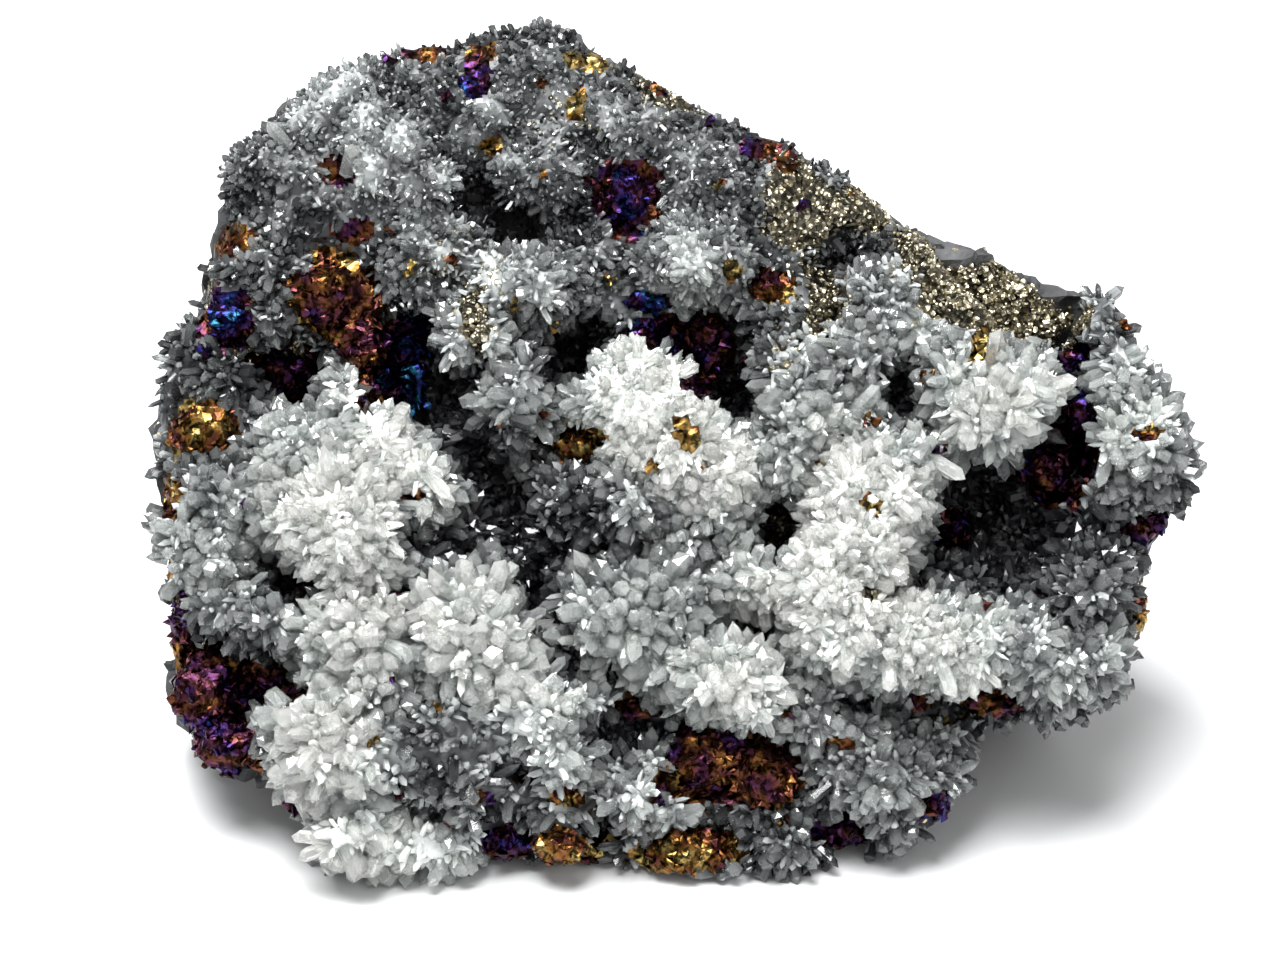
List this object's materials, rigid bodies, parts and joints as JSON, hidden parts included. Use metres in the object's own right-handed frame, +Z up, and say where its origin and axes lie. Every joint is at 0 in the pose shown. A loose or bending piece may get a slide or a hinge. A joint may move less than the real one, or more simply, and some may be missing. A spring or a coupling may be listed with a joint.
{
  "type": "peacock ore mineral specimen",
  "caption": "Wedge of dark rock whose leaning face is crusted with white and smoky quartz crystals, iridescent chalcopyrite lumps and a patch of brassy pyrite",
  "frame": {"origin": "centre of the bounding box's bottom face, on the surface it rests on", "axes": "+X to the right across the crystal face, which is the widest way; +Y from the crystal face towards the broken back; +Z up"},
  "size_m": [0.1231, 0.0642, 0.0863],
  "materials": {
    "dark_rock": "dark grey broken rock, fine glitter",
    "quartz": "milky to smoky translucent quartz crystals, glossy faces",
    "pyrite": "pale brassy metallic grains",
    "tarnished_chalcopyrite": "metallic, iridescent gold, magenta, purple and blue tarnish"
  },
  "bodies": {
    "root": {"host_rock": "dark_rock", "quartz_crust": "quartz", "pyrite_druse": "pyrite", "peacock_ore_plate": "tarnished_chalcopyrite", "peacock_ore_plate_tail": "tarnished_chalcopyrite", "peacock_ore_left_corner": "tarnished_chalcopyrite", "peacock_ore_corner_shelf": "tarnished_chalcopyrite", "peacock_ore_corner_sliver": "tarnished_chalcopyrite", "peacock_ore_upper_left": "tarnished_chalcopyrite", "peacock_ore_blue_wall": "tarnished_chalcopyrite", "peacock_ore_left_edge": "tarnished_chalcopyrite", "peacock_ore_under_ridge": "tarnished_chalcopyrite", "peacock_ore_purple_knot": "tarnished_chalcopyrite", "peacock_ore_upper_knot": "tarnished_chalcopyrite", "peacock_ore_red_prism": "tarnished_chalcopyrite", "peacock_ore_blue_prism": "tarnished_chalcopyrite", "peacock_ore_gold_bow": "tarnished_chalcopyrite", "peacock_ore_crown_grain": "tarnished_chalcopyrite", "peacock_ore_orange_knot": "tarnished_chalcopyrite", "peacock_ore_olive_knot": "tarnished_chalcopyrite", "peacock_ore_cave_wall": "tarnished_chalcopyrite", "peacock_ore_cave_shoulder": "tarnished_chalcopyrite", "peacock_ore_cave_roof": "tarnished_chalcopyrite", "peacock_ore_cave_floor": "tarnished_chalcopyrite", "peacock_ore_right_edge": "tarnished_chalcopyrite", "peacock_ore_right_flank": "tarnished_chalcopyrite", "peacock_ore_under_ledge": "tarnished_chalcopyrite", "peacock_ore_ledge_grain": "tarnished_chalcopyrite", "peacock_ore_dark_foot": "tarnished_chalcopyrite", "peacock_ore_dark_corner": "tarnished_chalcopyrite", "peacock_ore_gold_foot": "tarnished_chalcopyrite", "peacock_ore_orange_foot": "tarnished_chalcopyrite", "peacock_ore_violet_foot": "tarnished_chalcopyrite"}
  },
  "joints": []
}
